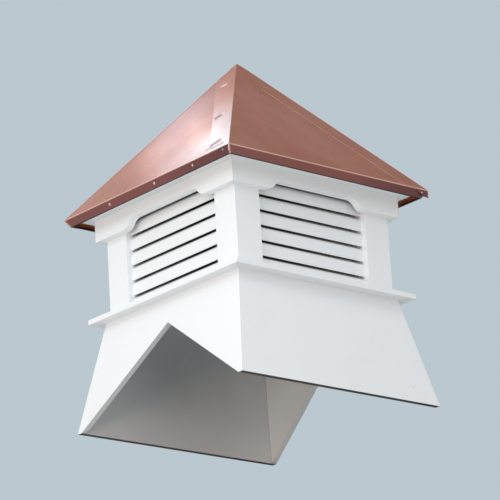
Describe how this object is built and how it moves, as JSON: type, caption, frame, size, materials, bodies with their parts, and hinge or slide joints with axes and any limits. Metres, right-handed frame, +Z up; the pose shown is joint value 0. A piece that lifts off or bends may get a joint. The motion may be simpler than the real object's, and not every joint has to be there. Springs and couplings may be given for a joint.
{
  "type": "roof cupola",
  "caption": "Square louvred barn cupola with a flared base notched for a ridge, projecting sill, corner posts, arched frieze boards and a pointed copper hip roof with lapped hips.",
  "frame": {"origin": "under the middle of the base, on the level of its two long bottom edges", "axes": "+Z up, X along the ridge that the base straddles, front is -Y"},
  "size_m": [0.7834, 0.7834, 1.1365],
  "materials": {
    "trim": "satin white cellular plastic board",
    "slat": "satin white cellular plastic",
    "screen": "black coated mesh",
    "deck": "plain boards",
    "copper": "bare copper sheet, lightly weathered"
  },
  "bodies": {
    "root": {"base_front": "trim", "base_right": "trim", "base_back": "trim", "base_left": "trim", "sill_front": "trim", "louvre_frame_front": "trim", "louvre_slats_front": "slat", "insect_screen_front": "screen", "frieze_front": "trim", "soffit_front": "trim", "roof_deck_front": "deck", "copper_panel_front": "copper", "sill_right": "trim", "louvre_frame_right": "trim", "louvre_slats_right": "slat", "insect_screen_right": "screen", "frieze_right": "trim", "soffit_right": "trim", "roof_deck_right": "deck", "copper_panel_right": "copper", "sill_back": "trim", "louvre_frame_back": "trim", "louvre_slats_back": "slat", "insect_screen_back": "screen", "frieze_back": "trim", "soffit_back": "trim", "roof_deck_back": "deck", "copper_panel_back": "copper", "sill_left": "trim", "louvre_frame_left": "trim", "louvre_slats_left": "slat", "insect_screen_left": "screen", "frieze_left": "trim", "soffit_left": "trim", "roof_deck_left": "deck", "copper_panel_left": "copper", "corner_post_front_left": "trim", "corner_post_front_right": "trim", "corner_post_back_right": "trim", "corner_post_back_left": "trim"}
  },
  "joints": []
}
